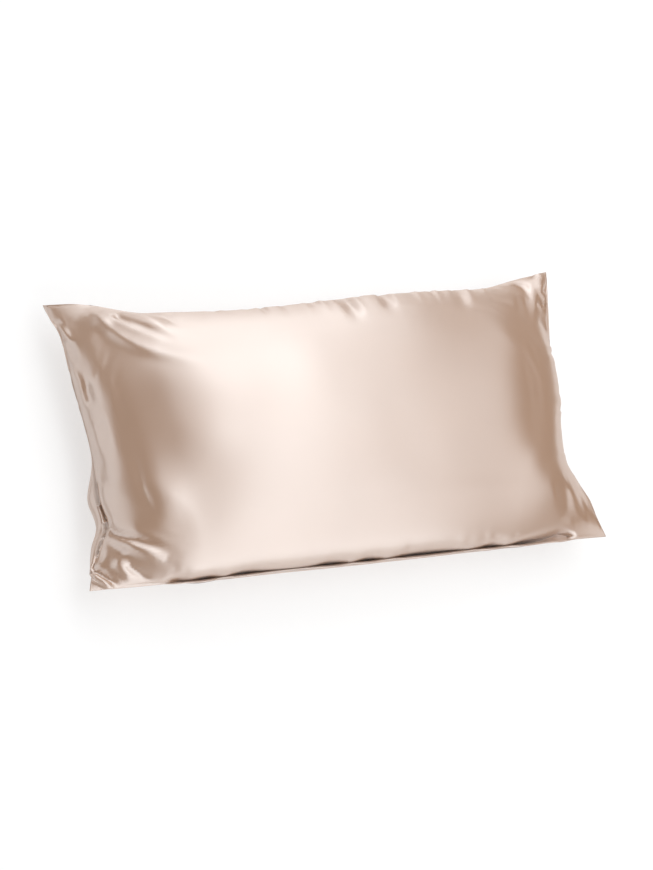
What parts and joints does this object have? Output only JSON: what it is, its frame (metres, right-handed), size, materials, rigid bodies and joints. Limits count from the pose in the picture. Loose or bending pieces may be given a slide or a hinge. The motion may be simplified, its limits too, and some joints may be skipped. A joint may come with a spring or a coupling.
{
  "type": "filled pillowcase",
  "caption": "King-size satin pillowcase filled by its pillow: a crowned rectangle with drawn-in sides and flat, creased corner ears, lying on its back.",
  "frame": {"origin": "on the floor, below the middle of the case", "axes": "+X along the case towards its closed right end, +Y towards its upper long side, +Z out of the front panel"},
  "size_m": [0.8902, 0.484, 0.1635],
  "materials": {
    "satin": "champagne satin weave, smooth and lustrous, with soft broad highlights"
  },
  "bodies": {
    "root": {"pillowcase": "satin"}
  },
  "joints": []
}
